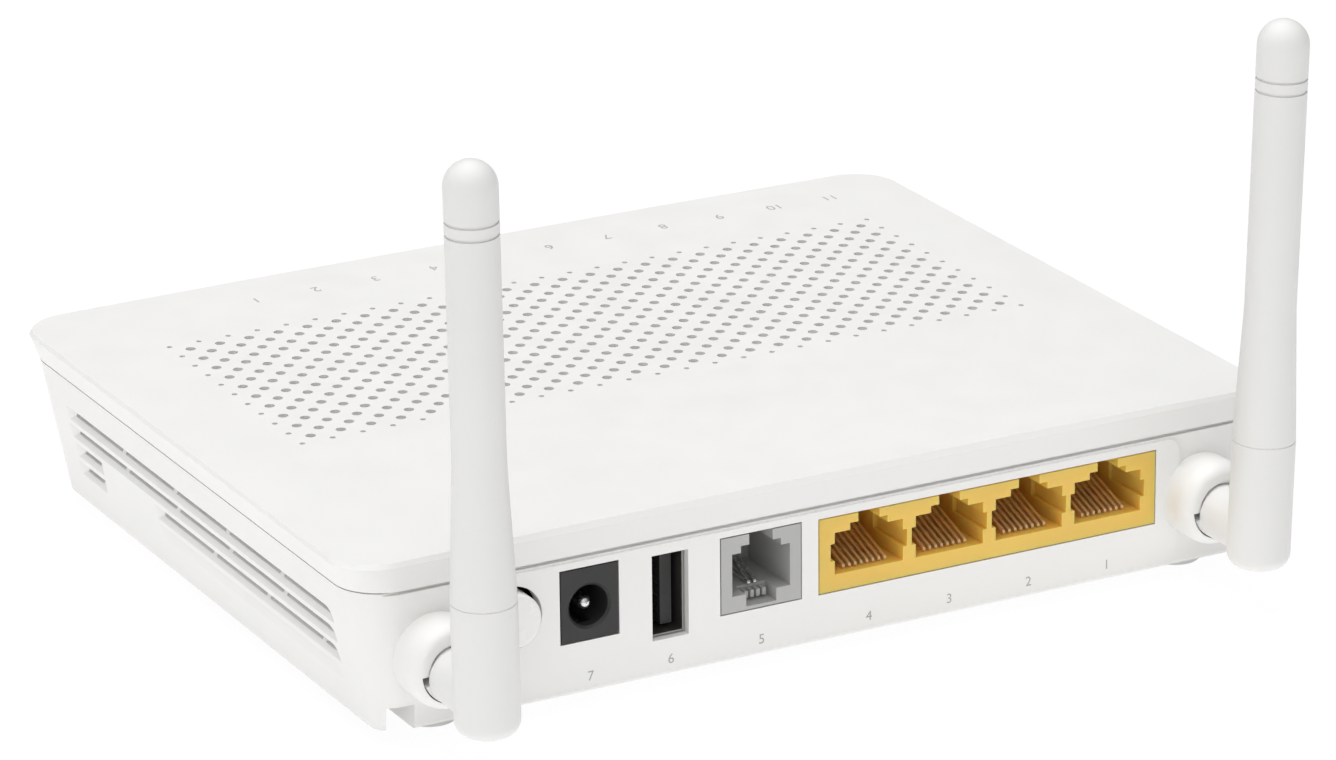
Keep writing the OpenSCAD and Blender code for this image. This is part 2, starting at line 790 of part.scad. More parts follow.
module bottom_case() {
    color(white) difference() {
        union() {
            difference() {
                case_loft(0, foot_h, case_edge);
                translate([0, 0, floor_t]) case_loft(wall, foot_h, 0);
            }
            locating_lip();
            panel_pad();
            for (x = [-pivot_x, pivot_x]) at_pivot(x) cup_body();
            rods(case_screw_at, case_boss_r, foot_h, case_boss_top);
            rods(board_screw_at, standoff_r, foot_h, board_z);
            translate([bay_x0 - bay_wall, bay_y0 - bay_wall, foot_h])
                cube([bay_w + 2 * bay_wall, bay_len + 2 * bay_wall, bay_h + bay_wall]);
            fibre_channel_block();
        }
        rear_seam();
        for (x = [-pivot_x, pivot_x]) at_pivot(x) cup_holes();
        panel_cut(lan_x, lan_w + 2 * socket_gap, board_top - socket_gap, board_top + lan_h + socket_gap);
        panel_cut(tel_x, tel_w + 2 * socket_gap, board_top - socket_gap, board_top + tel_h + socket_gap);
        panel_cut(usb_x, usb_w + 2 * socket_gap, usb_z - socket_gap, usb_z + usb_h + socket_gap);
        panel_cut(dc_x, dc_w + 2 * socket_gap, dc_z - socket_gap, dc_z + dc_h + socket_gap);
        translate([power_x, panel_y - wall - 1, power_z]) rotate([-90, 0, 0])
            cylinder(d = power_hole_d, h = wall + 3, $fn = bore_fn);
        left_louvres();
        right_louvres();
        for (y = side_button_y) side_window(y, side_button_w + 2 * side_gap, side_button_h + 2 * side_gap);
        translate([-half_w, reset_y, side_button_z]) rotate([0, 90, 0])
            cylinder(d = reset_d + 2 * side_gap, h = half_w / 2, $fn = bore_fn);
        for (k = [0:lamp_count - 1])
            translate([lamp_x0 - k * lamp_pitch - guide_w / 2 - guide_gap, -half_d, guide_z - guide_gap])
                cube([guide_w + 2 * guide_gap, half_d + lamp_y, guide_t + 2 * guide_gap]);
        rods(case_screw_at, screw_head_r + head_pass, foot_h - 1, screw_seat);
        rods(case_screw_at, screw_r + screw_pass, foot_h - 1, case_boss_top + 1);
        rods(board_screw_at, board_screw_r + screw_clear, floor_top - 1, board_z + 1);
        translate([bay_x0, bay_y0, foot_h - 1]) cube([bay_w, bay_len, bay_h + 1]);
        optical_window();
        fibre_channel();
        for (x = [-1, 1]) translate([x * keyhole_span / 2, 0, foot_h - 1]) keyhole();
        floor_vents();
    }
}

// Lip along the top edge that locates the cover
module locating_lip() {
    translate([0, 0, case_top - lip_root]) linear_extrude(lip_root + seam_gap + lip_rise) difference() {
        lid_inside(lip_clear);
        lid_inside(lip_clear + lip_t);
    }
}

// Wider seam along the panel
module rear_seam() {
    translate([-half_w, panel_y - seam_depth, case_top - seam_step]) cube([lid_w, lid_d, seam_step + 1]);
}

// Slightly raised field of the panel round the sockets
module panel_pad() {
    translate([(pad_x0 + pad_x1) / 2, face_y, 0]) rotate([90, 0, 0]) linear_extrude(pad_t + 1)
        rounded_area((pad_x1 - pad_x0) / 2, foot_h + pad_rise, case_top - seam_step - pad_drop, pad_r);
}

// Walls round the way out of the fibre bay
module fibre_channel_block() {
    intersection() {
        translate([channel_x0 - bay_wall, bay_y1, foot_h])
            cube([channel_x1 - channel_x0 + 2 * bay_wall, panel_y - bay_y1, channel_h + bay_wall]);
        case_loft(0, foot_h, case_edge);
    }
}

// Way out of the fibre bay to the rear corner
module fibre_channel() {
    translate([channel_x0, bay_y1 - 1, foot_h - 1])
        cube([channel_x1 - channel_x0, panel_y - bay_y1 + 2, channel_h + 1]);
}

module rubber_feet() {
    color("#e4e2dd") for (p = foot_at) translate([p[0], p[1], 0]) {
        cylinder(d1 = foot_d - 2 * foot_edge, d2 = foot_d, h = foot_edge, $fn = bore_fn);
        translate([0, 0, foot_edge]) cylinder(d = foot_d, h = foot_h - foot_edge, $fn = bore_fn);
    }
}

// Cross recess, its opening at z = 0 and its floor below
module cross_recess(size) {
    for (a = [0, 90]) rotate(a) translate([-size[0] / 2, -size[1] / 2, -size[2]])
        cube([size[0], size[1], size[2] + 1]);
}

module case_screws() {
    color("silver") for (p = case_screw_at) translate([p[0], p[1], screw_seat]) {
        difference() {
            translate([0, 0, -screw_head_h]) cylinder(r = screw_head_r, h = screw_head_h, $fn = bore_fn);
            translate([0, 0, -screw_head_h]) mirror([0, 0, 1]) cross_recess(screw_cross);
        }
        cylinder(r = screw_r, h = screw_len, $fn = bore_fn);
    }
}

module main_board() {
    color("darkgreen") difference() {
        translate([0, 0, board_z]) linear_extrude(board_t) difference() {
            translate([-board_half, board_front]) square([2 * board_half, board_rear - board_front]);
            translate([board_bay_x, board_bay_y]) square([board_half, lid_d]);
            translate([-board_half - 1, board_cup_y]) square([board_half + 1 - board_cup_x, lid_d]);
            translate([usb_x - usb_w / 2 - usb_slot_gap, usb_back - usb_slot_gap])
                square([usb_w + 2 * usb_slot_gap, lid_d]);
        }
        rods(case_screw_at, post_r + post_pass, board_z - 1, board_top + 1);
        rods(board_screw_at, board_screw_r + board_screw_pass, board_z - 1, board_top + 1);
    }
}

module board_screws() {
    color("silver") for (p = board_screw_at) translate([p[0], p[1], board_top]) {
        difference() {
            cylinder(r = board_head_r, h = board_head_h, $fn = bore_fn);
            translate([0, 0, board_head_h]) cross_recess(board_cross);
        }
        translate([0, 0, -board_screw_len])
            cylinder(r = board_screw_r, h = board_screw_len + eps, $fn = bore_fn);
    }
}

// Plug opening with side grooves and a stepped latch way, drawn in X and Z
module plug_outline(w, key, latch, floor_z, top_z) {
    translate([-w / 2, floor_z]) square([w, plug_h]);
    translate([-key / 2, floor_z]) square([key, plug_h + key_h]);
    translate([-latch / 2, floor_z]) square([latch, top_z - floor_z + 1]);
}

// Middle of one network port along the panel
function port_x(k) = lan_x + (k - (lan_count - 1) / 2) * lan_pitch;

// Teeth at the back of a network port, which keep its wires apart
module port_comb() {
    for (n = [0:wire_count])
        translate([
            (n - wire_count / 2) * wire_pitch - lan_comb[0] / 2, face_y - plug_depth - eps,
            lan_floor + lan_comb_rise
        ]) cube([lan_comb[0], lan_comb[1] + eps, plug_h - lan_comb_rise + eps]);
}

module lan_block() {
    color("#dcbb5c") {
        lan_body();
        for (k = [0:lan_count - 1]) translate([port_x(k), 0, 0]) port_comb();
    }
}

module lan_body() {
    difference() {
        translate([lan_x - lan_w / 2, face_y - lan_depth, board_top]) cube([lan_w, lan_depth, lan_h]);
        for (k = [0:lan_count - 1])
            translate([port_x(k), face_y + 1, 0])
                rotate([90, 0, 0]) {
                    linear_extrude(plug_depth + 1)
                        plug_outline(plug_w, key_w, latch_w, lan_floor, board_top + lan_h);
                    linear_extrude(plug_depth - groove_short)
                        translate([-plug_w / 2 - groove_d, lan_floor + groove_rise])
                            square([plug_w + 2 * groove_d, groove_h]);
                }
    }
}

// Spring wire lying on a socket floor, with a rising tongue; y = 0 is the mouth
module contact_wire(floor_z, run, rise) {
    translate([-wire_w / 2, -wire_front - run, floor_z]) cube([wire_w, run, wire_t]);
    translate([-wire_w / 2, -wire_front, floor_z + wire_t]) {
        rotate([-rise, 0, 0]) translate([0, -run, 0]) cube([wire_w, run, wire_t]);
        rotate([0, 90, 0]) cylinder(r = wire_t, h = wire_w, $fn = wire_fn);
    }
}

module lan_contacts() {
    color("#8a6a3a") for (k = [0:lan_count - 1], n = [0:wire_count - 1])
        translate([port_x(k) + (n - (wire_count - 1) / 2) * wire_pitch, face_y, 0])
            contact_wire(lan_floor, plug_depth - groove_short, lan_rise);
}

module tel_jack() {
    color("#b9b9b7") {
        difference() {
            translate([tel_x - tel_w / 2, face_y - tel_depth, board_top]) cube([tel_w, tel_depth, tel_h]);
            translate([tel_x, face_y + 1, 0]) rotate([90, 0, 0]) {
                linear_extrude(plug_depth + 1)
                    plug_outline(tel_plug_w, tel_key_w, tel_latch_w, tel_floor, board_top + tel_h);
                linear_extrude(tel_slot_depth + 1)
                    translate([-tel_slot_w / 2, board_top + tel_slot_floor])
                        square([tel_slot_w, tel_floor - board_top]);
            }
        }
        for (n = [0:tel_comb_count - 1])
            translate([
                tel_x + (n - (tel_comb_count - 1) / 2) * wire_pitch - tel_comb[0] / 2,
                face_y - tel_slot_depth - 1, board_top + tel_comb_rise
            ]) cube([tel_comb[0], tel_comb[1], tel_floor - board_top - tel_comb_rise - tel_comb_drop]);
    }
}

module tel_contacts() {
    color("#cfc8b8") for (n = [-0.5, 0.5])
        translate([tel_x + n * wire_pitch, face_y - tel_wire_back, 0])
            contact_wire(tel_floor, plug_depth - tel_wire_short, tel_rise);
}

module usb_shell() {
    color("silver") difference() {
        union() {
            translate([usb_x - usb_w / 2, usb_back, usb_z]) cube([usb_w, usb_depth, usb_h]);
            for (y = [usb_back + 1, usb_front - 3 * usb_tab_len])
                translate([usb_x - usb_w / 2 - usb_tab, y, board_top])
                    cube([usb_w + 2 * usb_tab, usb_tab_len, usb_tab_t]);
        }
        translate([usb_x - usb_w / 2 + usb_t, usb_back + usb_t, usb_z + usb_t])
            cube([usb_w - 2 * usb_t, usb_depth, usb_h - 2 * usb_t]);
    }
}

module usb_tongue() {
    color("#222222") difference() {
        union() {
            translate([usb_x - usb_w / 2 + usb_t, usb_back + usb_t, usb_z + usb_t])
                cube([usb_w - 2 * usb_t, tongue_root, usb_h - 2 * usb_t]);
            translate([tongue_x - tongue_t / 2, usb_back + usb_t, usb_z + (usb_h - tongue_h) / 2])
                cube([tongue_t, tongue_root + tongue_len, tongue_h]);
        }
        usb_strips(strip_clear, 1);
    }
}

// Four contact strips let into the face of the tongue, with a clearance and a way out
module usb_strips(clear, out) {
    for (z = strip_z)
        translate([
            tongue_x + tongue_t / 2 - strip[0] - clear, usb_back + usb_t + strip_back - clear,
            usb_z + (usb_h - strip[2]) / 2 + z - clear
        ]) cube([strip[0] + clear + out, strip[1] + 2 * clear, strip[2] + 2 * clear]);
}

module usb_contacts() {
    color("#b98f46") usb_strips(0, 0);
}

module dc_jack() {
    color("#2b2b2a") difference() {
        union() {
            translate([dc_x - dc_w / 2, face_y - dc_depth, dc_z]) cube([dc_w, dc_depth, dc_h]);
            for (y = [face_y - dc_depth, board_rear - dc_foot_len])
                translate([dc_x - dc_w / 2, y, board_top]) cube([dc_w, dc_foot_len, dc_foot]);
        }
        translate([dc_x, face_y + eps, dc_bore_z]) rotate([90, 0, 0]) {
            cylinder(d = dc_bore, h = dc_bore_depth, $fn = bore_fn);
            cylinder(d1 = dc_bore + 2 * dc_bore_edge, d2 = dc_bore, h = dc_bore_edge, $fn = bore_fn);
            cylinder(d = dc_pin_d + 2 * dc_pin_clear, h = dc_depth + 1, $fn = bore_fn);
        }
        translate([dc_x - dc_groove[0] / 2, face_y - dc_bore_depth, dc_groove_z]) cube(dc_groove);
    }
}

module dc_pin() {
    color("silver") translate([dc_x, face_y - dc_pin_back, dc_bore_z]) rotate([90, 0, 0]) {
        cylinder(d = dc_pin_d, h = dc_depth - dc_pin_back, $fn = bore_fn);
        sphere(d = dc_pin_d, $fn = bore_fn);
    }
}

module dc_spring() {
    color("silver")
        translate([
            dc_x - dc_strip[0] / 2, face_y - dc_bore_depth + (dc_groove[1] - dc_strip[1]) / 2,
            dc_groove_z
        ]) cube(dc_strip);
}

// Domed cap with a square stem behind it
module power_button() {
    color("#fafaf7") translate([power_x, cap_back, power_z]) {
        rotate([-90, 0, 0]) rotate_extrude($fn = bore_fn) {
            square([power_d / 2, cap_len - cap_round]);
            square([power_d / 2 - cap_round, cap_len]);
            translate([power_d / 2 - cap_round, cap_len - cap_round]) intersection() {
                circle(cap_round, $fn = corner_fn);
                square(cap_round);
            }
        }
        translate([-stem_w / 2, -stem_len, -stem_w / 2]) cube([stem_w, stem_len + eps, stem_w]);
    }
}

module power_plunger() {
    color("#3a3a3a")
        translate([power_x - plunger_w / 2, stem_back - plunger_len, power_z - plunger_w / 2])
            cube([plunger_w, plunger_len, plunger_w]);
}

module power_switch() {
    hole = plunger_w + 2 * plunger_gap;
    color("#444444") difference() {
        translate([power_x - switch_w / 2, switch_front - switch_len, board_top])
            cube([switch_w, switch_len, power_z - board_top + switch_over]);
        translate([power_x - hole / 2, switch_front - plunger_len, power_z - hole / 2])
            cube([hole, plunger_len + 1, hole]);
    }
}

// Where a side button's flange begins, inside the wall
flange_x = wall + side_travel + side_flange_gap - side_x(side_button_z);

// Where the stem of a side button ends, just off its switch
stem_end = tact_face - side_travel - tact_gap;

// Side button: cap through the wall, flange behind it and a stem towards its switch
module side_button(y) {
    outer = -side_x(side_button_z) - side_proud;
    color("#fafaf7") translate([0, y, side_button_z]) {
        translate([outer, -side_button_w / 2, -side_button_h / 2])
            cube([flange_x - outer, side_button_w, side_button_h]);
        translate([flange_x, -side_button_w / 2 - side_flange, -side_button_h / 2 - side_flange])
            cube([side_flange_t, side_button_w + 2 * side_flange, side_button_h + 2 * side_flange]);
        translate([flange_x, 0, 0]) rotate([0, 90, 0])
            cylinder(d = side_stem_d, h = stem_end - flange_x, $fn = bore_fn);
    }
}

module wlan_button() {
    side_button(side_button_y[0]);
}

module wps_button() {
    side_button(side_button_y[1]);
}

// Reset pin, sunk in its hole
module reset_button() {
    outer = reset_sunk - side_x(side_button_z);
    color("#55544f") translate([0, reset_y, side_button_z]) rotate([0, 90, 0]) {
        translate([0, 0, outer]) cylinder(d = reset_d, h = stem_end - outer, $fn = bore_fn);
        translate([0, 0, flange_x])
            cylinder(d = reset_d + 2 * side_flange, h = side_flange_t, $fn = bore_fn);
    }
}

module tact_switches() {
    color("#2f2f2f") for (y = concat(side_button_y, [reset_y])) translate([tact_face, y, 0]) {
        translate([tact_nib, -tact_w / 2, board_top]) cube([tact_len, tact_w, tact_h]);
        translate([0, 0, side_button_z]) rotate([0, 90, 0])
            cylinder(d = tact_nib_d, h = tact_nib + eps, $fn = bore_fn);
    }
}

// Clear guide: one finger per lamp, joined by a bar on two legs
module light_guide() {
    column_y = lamp_y - guide_t / 2;
    back_y = column_y + guide_t;
    foot_z = board_top + led_size[2] + guide_over;
    out_y = front_y(guide_z) + guide_recess;
    bar_x0 = lamp_x0 - (lamp_count - 1) * lamp_pitch - guide_w / 2;
    bar_x1 = lamp_x0 + guide_w / 2;
    color("#dfe6e4") {
        for (k = [0:lamp_count - 1])
            translate([lamp_x0 - k * lamp_pitch - guide_w / 2, 0, 0]) rotate([90, 0, 90])
                linear_extrude(guide_w) polygon([
                    [column_y, foot_z], [back_y, foot_z], [back_y, guide_z], [column_y, guide_z + guide_t],
                    [out_y, guide_z + guide_t], [out_y, guide_z], [column_y, guide_z]
                ]);
        translate([bar_x0, back_y - eps, guide_bar_z]) cube([bar_x1 - bar_x0, guide_bar[0], guide_bar[1]]);
        for (x = [bar_x0, bar_x1 - guide_w]) translate([x, back_y - eps, board_top])
            cube([guide_w, guide_bar[0], guide_bar_z - board_top + eps]);
    }
}

module status_leds() {
    color("#f4f1d8") for (k = [0:lamp_count - 1])
        translate([lamp_x0 - k * lamp_pitch - led_size[0] / 2, lamp_y - led_size[1] / 2, board_top])
            cube(led_size);
}

// Opening in the bay's end wall for the receptacle
module optical_window() {
    translate([optic_x - optic_w / 2 - optic_gap, bay_y0 - bay_wall - 1, foot_h - 1])
        cube([optic_w + 2 * optic_gap, bay_wall + 2, floor_t + 1 + optic_h + optic_gap]);
}

// Push-in fibre receptacle standing on the floor, its mouth in the bay
module optical_adapter() {
    color("#3f7f52") difference() {
        translate([optic_x - optic_w / 2, optic_rear, floor_top]) cube([optic_w, optic_len, optic_h]);
        translate([optic_x, optic_front - optic_mouth_depth, optic_z])
            translate([-optic_mouth_w / 2, 0, -optic_mouth_h / 2])
                cube([optic_mouth_w, optic_mouth_depth + 1, optic_mouth_h]);
        translate([optic_x - optic_key[0] / 2, optic_front - optic_key[1], optic_z])
            cube([optic_key[0], optic_key[1] + 1, optic_h]);
        translate([optic_x, optic_rear - 1, optic_z]) rotate([-90, 0, 0])
            cylinder(r = sleeve_r + sleeve_clear, h = optic_len, $fn = bore_fn);
    }
}

module ferrule_sleeve() {
    color("#f3f3ee") translate([optic_x, optic_rear, optic_z]) rotate([-90, 0, 0]) difference() {
        cylinder(r = sleeve_r, h = optic_len - sleeve_back, $fn = bore_fn);
        translate([0, 0, ferrule_stop]) cylinder(r = ferrule_r, h = optic_len, $fn = bore_fn);
    }
}

// Transceiver behind the receptacle, with its receiver can and its foot
module optical_module() {
    color("#b8b8b4") translate([optic_x, optic_rear - module_len, optic_z]) {
        rotate([-90, 0, 0]) cylinder(r = module_r, h = module_len, $fn = bore_fn);
        translate([0, module_len / 2, 0]) rotate([0, -90, 0])
            cylinder(r = module_side_r, h = module_side_len, $fn = bore_fn);
        translate([-module_r, 1, floor_top - optic_z])
            cube([2 * module_r, module_len - 3, optic_z - floor_top]);
    }
}

module processor() {
    color("#262626") translate([chip_at[0] - chip[0] / 2, chip_at[1] - chip[1] / 2, board_top]) cube(chip);
}

// Finned sink standing on the processor
module heat_sink() {
    color("#9a9da0") translate([chip_at[0] - sink_w / 2, chip_at[1] - sink_w / 2, board_top + chip[2]]) {
        cube([sink_w, sink_w, sink_t]);
        for (k = [0:fin_count - 1])
            translate([k * (sink_w - fin_t) / (fin_count - 1), 0, sink_t - eps])
                cube([fin_t, sink_w, fin_h]);
    }
}

module shield_cans() {
    color("#c3c5c4") for (k = [0, 1]) translate([can_at[k][0], can_at[k][1], board_top]) cube(can_size[k]);
}

module line_transformers() {
    color("#2a2a2a") for (side = [-1, 1])
        translate([lan_x + (side * line_span - line_size[0]) / 2, line_y, board_top]) cube(line_size);
}

module capacitors() {
    color("#33363b") for (k = [0:len(cap_at) - 1])
        translate([cap_at[k][0], cap_at[k][1], board_top])
            cylinder(r = cap_r[k], h = cap_h[k], $fn = bore_fn);
}

// Aerial sockets on the board
module rf_connectors() {
    color("#c8a85a") for (p = rf_at)
        translate([p[0], p[1], board_top]) cylinder(r = rf_r, h = rf_h, $fn = bore_fn);
}

// Lead along a list of corners: rods with ball corners
module lead(points) {
    for (k = [0:len(points) - 2]) {
        run = points[k + 1] - points[k];
        reach = norm(run);
        translate(points[k]) rotate([0, acos(run[2] / reach), atan2(run[1], run[0])])
            cylinder(r = lead_r, h = reach, $fn = wire_fn);
        if (k > 0) translate(points[k]) sphere(lead_r, $fn = wire_fn);
    }
}

module antenna_leads() {
    start_y = panel_y + hook_back - lead_gap;
    left_y = start_y - lead_bend[0];
    right_y = start_y - lead_bend[1];
    rf_z = board_top + rf_h;
    left = rf_at[0];
    right = rf_at[1];
    color("#3c3c3c") {
        lead([
            [pivot_x, start_y, pivot_z], [pivot_x, left_y, pivot_z], [pivot_x, left_y, lead_high],
            [pivot_x, left[1], lead_high], [left[0], left[1], lead_high], [left[0], left[1], rf_z]
        ]);
        lead([
            [-pivot_x, start_y, pivot_z], [-pivot_x, right_y, pivot_z], [right[0], right_y, pivot_z],
            [right[0], right[1], pivot_z], [right[0], right[1], rf_z]
        ]);
    }
}

// Turns a drawing about the pivot, which lies at the origin along Y
module leaned(angle) {
    rotate([0, angle, 0]) children();
}

// Antenna foot: upright sleeve, neck, pivot shaft with its stop lug, and snap hooks inside the panel
module antenna_foot() {
    color(white) difference() {
        union() {
            translate([0, antenna_out, 0]) rotate_extrude($fn = bore_fn) {
                translate([0, -antenna_below]) square([antenna_r - base_round, base_round]);
                translate([antenna_r - base_round, -antenna_below + base_round]) intersection() {
                    circle(base_round, $fn = corner_fn);
                    translate([0, -base_round]) square(base_round);
                }
                polygon([
                    [0, -antenna_below + base_round], [antenna_r, -antenna_below + base_round],
                    [antenna_r, foot_top - joint_edge], [antenna_r - joint_edge, foot_top], [0, foot_top]
                ]);
                translate([0, foot_top - eps]) square([spigot_r, spigot_h]);
            }
            translate([0, neck_start, -neck_drop]) rotate([-90, 0, 0])
                cylinder(r = neck_r, h = neck_end - neck_start, $fn = bore_fn);
            panel_extrude(cup_out - notch_depth + lug_gap, neck_start + eps)
                sector(lug_r, lug_start, lug_sweep);
            rotate([-90, 0, 0]) {
                translate([0, 0, hook_y - hook_t])
                    cylinder(r = shaft_r, h = neck_start + eps - hook_y + hook_t, $fn = bore_fn);
                translate([0, 0, hook_y - hook_t]) cylinder(r = hook_r, h = hook_t, $fn = bore_fn);
                translate([0, 0, hook_back])
                    cylinder(r1 = shaft_r - hook_draw, r2 = hook_r, h = hook_lead, $fn = bore_fn);
            }
        }
        rotate([-90, 0, 0]) translate([0, 0, hook_back - 1])
            cylinder(r = lead_bore, h = antenna_out + lead_bore - hook_back + 1, $fn = bore_fn);
        translate([0, antenna_out, 0]) cylinder(r = lead_bore, h = foot_top + spigot_h + 1, $fn = bore_fn);
        for (a = [0, 90]) rotate([0, a, 0]) translate([-hook_slit / 2, hook_back - 1, -hook_r - 1])
            cube([hook_slit, hook_t + hook_lead + 1 + cup_in / 2, 2 * hook_r + 2]);
    }
}

// Hollow whip: taper from the foot, straight upper part, round tip and two ring grooves
module antenna_whip() {
    top = antenna_above - whip_r;
    taper_z = foot_top + joint_edge;
    color(white) translate([0, antenna_out, 0]) difference() {
        union() {
            translate([0, 0, foot_top])
                cylinder(r1 = antenna_r - joint_edge, r2 = antenna_r, h = joint_edge, $fn = bore_fn);
            translate([0, 0, taper_z])
                cylinder(r1 = antenna_r, r2 = whip_r, h = taper_top - taper_z, $fn = bore_fn);
            translate([0, 0, taper_top]) cylinder(r = whip_r, h = top - taper_top, $fn = bore_fn);
            translate([0, 0, top]) sphere(whip_r, $fn = bore_fn);
        }
        translate([0, 0, foot_top - 1])
            cylinder(r = spigot_r + spigot_clear, h = spigot_h + spigot_gap + 1, $fn = bore_fn);
        cylinder(r = whip_bore, h = top - whip_cap, $fn = bore_fn);
        for (z = ring_groove) translate([0, 0, z - ring_w / 2]) difference() {
            cylinder(r = whip_r + 1, h = ring_w, $fn = bore_fn);
            translate([0, 0, -1]) cylinder(r = whip_r - ring_d, h = ring_w + 2, $fn = bore_fn);
        }
    }
}

// Sleeve dipole: lead through the shaft, brass sleeve and upper wire
module antenna_core() {
    wire_end = antenna_above - whip_r - core_end;
    color("#b48a4a") {
        translate([0, hook_back, 0]) rotate([-90, 0, 0])
            cylinder(r = lead_r, h = antenna_out - hook_back, $fn = wire_fn);
        translate([0, antenna_out, 0]) {
            sphere(lead_r, $fn = wire_fn);
            cylinder(r = lead_r, h = wire_end, $fn = wire_fn);
            translate([0, 0, core_z]) cylinder(r = whip_bore - core_clear, h = core_len, $fn = bore_fn);
        }
    }
}

module left_antenna_foot() {
    at_pivot(pivot_x) leaned(left_lean) antenna_foot();
}

module left_antenna_whip() {
    at_pivot(pivot_x) leaned(left_lean) antenna_whip();
}

module left_antenna_core() {
    at_pivot(pivot_x) leaned(left_lean) antenna_core();
}

module right_antenna_foot() {
    at_pivot(-pivot_x) leaned(right_lean) antenna_foot();
}

module right_antenna_whip() {
    at_pivot(-pivot_x) leaned(right_lean) antenna_whip();
}

module right_antenna_core() {
    at_pivot(-pivot_x) leaned(right_lean) antenna_core();
}

// Moves the part so that the middle of its outline is the origin
module framed() {
    translate([0, -frame_y, 0]) children();
}

framed() top_cover();
framed() bottom_case();
framed() rubber_feet();
framed() case_screws();
framed() main_board();
framed() board_screws();
framed() lan_block();
framed() lan_contacts();
framed() tel_jack();
framed() tel_contacts();
framed() usb_shell();
framed() usb_tongue();
framed() usb_contacts();
framed() dc_jack();
framed() dc_pin();
framed() dc_spring();
framed() power_button();
framed() power_plunger();
framed() power_switch();
framed() wlan_button();
framed() wps_button();
framed() reset_button();
framed() tact_switches();
framed() light_guide();
framed() status_leds();
framed() optical_adapter();
framed() ferrule_sleeve();
framed() optical_module();
framed() processor();
framed() heat_sink();
framed() shield_cans();
framed() line_transformers();
framed() capacitors();
framed() rf_connectors();
framed() antenna_leads();
framed() left_antenna_foot();
framed() left_antenna_whip();
framed() left_antenna_core();
framed() right_antenna_foot();
framed() right_antenna_whip();
framed() right_antenna_core();
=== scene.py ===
import json
import math

import bpy
from mathutils import Matrix, Vector


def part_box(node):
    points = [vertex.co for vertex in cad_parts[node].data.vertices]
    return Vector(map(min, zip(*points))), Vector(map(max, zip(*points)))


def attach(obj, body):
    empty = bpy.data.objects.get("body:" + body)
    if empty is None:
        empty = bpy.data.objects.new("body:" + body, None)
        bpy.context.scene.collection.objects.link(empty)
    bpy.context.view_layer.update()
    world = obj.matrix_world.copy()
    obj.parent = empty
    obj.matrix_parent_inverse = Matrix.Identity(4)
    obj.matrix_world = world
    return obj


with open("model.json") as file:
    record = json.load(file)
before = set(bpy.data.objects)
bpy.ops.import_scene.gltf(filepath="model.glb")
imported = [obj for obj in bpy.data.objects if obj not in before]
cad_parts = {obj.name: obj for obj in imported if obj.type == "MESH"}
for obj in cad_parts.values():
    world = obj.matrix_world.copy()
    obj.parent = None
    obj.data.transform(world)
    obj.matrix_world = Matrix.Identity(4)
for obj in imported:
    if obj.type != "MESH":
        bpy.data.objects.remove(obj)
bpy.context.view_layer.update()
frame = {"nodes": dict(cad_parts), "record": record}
nodes = frame["nodes"]
scene = bpy.context.scene
scene.view_settings.view_transform = "Standard"

MM = 0.001
LID_LOW, LID_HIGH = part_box("top_cover")

# Camera fitted to the photograph: its direction and roll, then lengths in millimetres
AZIMUTH = math.radians(152.07)
ELEVATION = math.radians(20.08)
ROLL = math.radians(-0.62)
DISTANCE = 977.6
SENSOR_WIDTH = 36.0
# Shift of the picture, focal length and picture width in pixels
SHIFT_X = -32.2
SHIFT_Y = 125.7
FOCAL_LENGTH = 6171.5
IMAGE_WIDTH = 1336
# The fitted origin lies under the middle of the lid, at this height above the desk in millimetres
DESK_LIFT = 2.65
LID_MIDDLE = Vector(((LID_LOW[0] + LID_HIGH[0]) / 2, (LID_LOW[1] + LID_HIGH[1]) / 2, 0))
# Nearest and farthest that the camera sees, in metres
CLIP_NEAR = 0.01
CLIP_FAR = 50.0


def make_camera():
    """Places the camera that was fitted to the photograph."""
    back = Vector((
        math.sin(AZIMUTH) * math.cos(ELEVATION),
        -math.cos(AZIMUTH) * math.cos(ELEVATION),
        math.sin(ELEVATION),
    ))
    forward = -back
    right = forward.cross(Vector((0, 0, 1))).normalized()
    up = right.cross(forward)
    cos_roll, sin_roll = math.cos(ROLL), math.sin(ROLL)
    rolled_right = cos_roll * right + sin_roll * up
    rolled_up = -sin_roll * right + cos_roll * up
    turn = Matrix((rolled_right, rolled_up, forward))
    offset = Vector((
        SHIFT_X * DISTANCE / FOCAL_LENGTH,
        -SHIFT_Y * DISTANCE / FOCAL_LENGTH,
        DISTANCE,
    ))
    place = MM * (Vector((0, 0, DESK_LIFT)) - turn.transposed() @ offset) + LID_MIDDLE
    data = bpy.data.cameras.new("camera")
    data.sensor_width = SENSOR_WIDTH
    data.sensor_fit = "HORIZONTAL"
    data.lens = FOCAL_LENGTH / IMAGE_WIDTH * SENSOR_WIDTH
    data.clip_start = CLIP_NEAR
    data.clip_end = CLIP_FAR
    camera = bpy.data.objects.new("camera", data)
    columns = Matrix((rolled_right, rolled_up, -forward)).transposed().to_4x4()
    camera.matrix_world = Matrix.Translation(place) @ columns
    scene.collection.objects.link(camera)
    scene.camera = camera


make_camera()


# Materials: noise scales count waves per metre
CLOUD_SCALE = 45.0
GLOSS_SCALE = 160.0
TARNISH_SCALE = 220.0
GRAIN_STRENGTH = 0.35
SCATTER_SHARE = 0.7
MARK_STRETCH = (1.0, 0.08, 1.0)
MARK_STRENGTH = 0.2
MARK_DEPTH = 0.02 * MM


def new_material(name):
    """Gives a new material, its node tree, its shader and its object coordinates."""
    material = bpy.data.materials.new(name)
    material.use_nodes = True
    tree = material.node_tree
    shader = tree.nodes["Principled BSDF"]
    coords = tree.nodes.new("ShaderNodeTexCoord")
    return material, tree, shader, coords.outputs["Object"]


